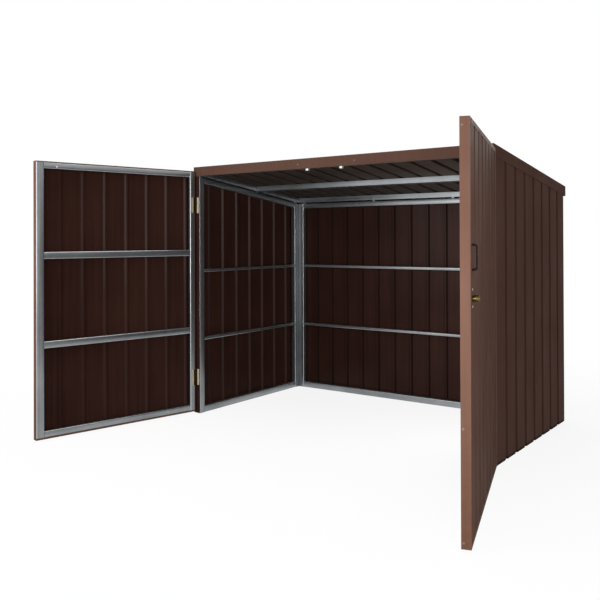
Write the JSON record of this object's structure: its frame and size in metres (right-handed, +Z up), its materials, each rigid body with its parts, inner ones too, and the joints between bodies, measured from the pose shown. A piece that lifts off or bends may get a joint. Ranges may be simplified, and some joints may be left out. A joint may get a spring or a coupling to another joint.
{
  "type": "bike shelter",
  "caption": "Low lean-to bike shelter of brown ribbed steel sheet on a galvanised frame, with a sloping roof and a pair of hinged front doors.",
  "frame": {"origin": "Centre of the underside of the back bottom rail, on the floor.", "axes": "+X to the right seen from the front, +Y from the doors to the back wall, +Z up."},
  "size_m": [2.5377, 2.0386, 1.535],
  "materials": {
    "galvanised": "hot-dip galvanised, soft spangle",
    "brown_paint": "satin brown coil coating",
    "hinge_brass": "yellow passivated plating",
    "black_plastic": "smooth moulded",
    "lock_brass": "polished"
  },
  "bodies": {
    "shelter": {"back_wall_posts": "galvanised", "back_wall_rails": "galvanised", "back_wall_sheet": "brown_paint", "door_keepers": "galvanised", "front_left_corner_trim": "brown_paint", "front_left_post": "galvanised", "front_right_corner_trim": "brown_paint", "front_right_post": "galvanised", "left_post_hinges": "hinge_brass", "left_wall_rails": "galvanised", "left_wall_sheet": "brown_paint", "rear_left_post": "galvanised", "rear_right_post": "galvanised", "right_post_hinges": "hinge_brass", "right_wall_rails": "galvanised", "right_wall_sheet": "brown_paint", "roof_front_trim": "brown_paint", "roof_header": "galvanised", "roof_left_trim": "brown_paint", "roof_purlin": "galvanised", "roof_rear_rail": "galvanised", "roof_rear_trim": "brown_paint", "roof_right_trim": "brown_paint", "roof_sheet": "brown_paint", "roof_side_rails": "galvanised", "roof_spacers": "galvanised"},
    "left_door": {"left_door_end_trims": "brown_paint", "left_door_hinges": "hinge_brass", "left_door_rails": "galvanised", "left_door_sheet": "brown_paint", "left_door_side_trims": "brown_paint", "left_door_stiles": "galvanised"},
    "right_door": {"right_door_end_trims": "brown_paint", "right_door_handle": "black_plastic", "right_door_hinges": "hinge_brass", "right_door_lock": "lock_brass", "right_door_rails": "galvanised", "right_door_sheet": "brown_paint", "right_door_side_trims": "brown_paint", "right_door_stiles": "galvanised"}
  },
  "joints": [
    {"name": "left_door_hinge", "type": "hinge", "parent": "shelter", "child": "left_door", "pos_m": [-0.976, -1.024, 0.761], "axis": [0, 0, -1], "range_deg": [-103.1, 11.9]},
    {"name": "right_door_hinge", "type": "hinge", "parent": "shelter", "child": "right_door", "pos_m": [0.976, -1.024, 0.761], "axis": [0, 0, 1], "range_deg": [-107.4, 7.6]}
  ]
}
